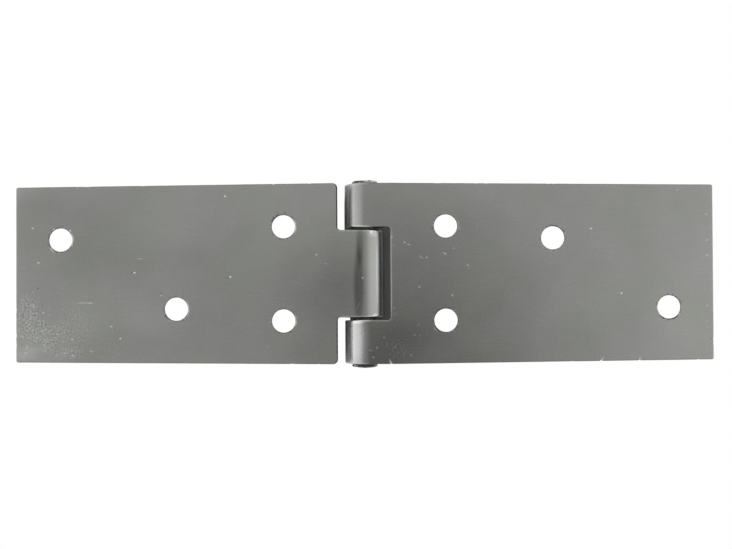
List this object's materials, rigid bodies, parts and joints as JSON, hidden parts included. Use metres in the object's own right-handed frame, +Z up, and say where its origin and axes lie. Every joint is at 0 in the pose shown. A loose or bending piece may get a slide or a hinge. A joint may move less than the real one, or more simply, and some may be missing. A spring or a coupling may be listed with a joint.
{
  "type": "strap hinge",
  "caption": "Open flat steel strap hinge: broad, barely tapered leaves rolled into interleaved knuckles round a riveted pin, with plain round fixing holes.",
  "frame": {"origin": "on the surface that the knuckles rest on, below the middle of the pin", "axes": "+X along the leaves towards the two-knuckle leaf's outer end, +Y along the pin, +Z up, out of the leaves' outer faces"},
  "size_m": [0.195, 0.053, 0.0111],
  "materials": {
    "leaf_steel": "bare mill-finished sheet, dull and lightly scuffed",
    "pin_steel": "bare, with hammered heads"
  },
  "bodies": {
    "two_knuckle_side": {"two_knuckle_leaf": "leaf_steel", "hinge_pin": "pin_steel"},
    "one_knuckle_side": {"one_knuckle_leaf": "leaf_steel"}
  },
  "joints": [
    {"name": "leaf_swing", "type": "hinge", "parent": "two_knuckle_side", "child": "one_knuckle_side", "pos_m": [0, 0, 0.00555], "axis": [0, 1, 0], "range_deg": [-183, 103]}
  ]
}
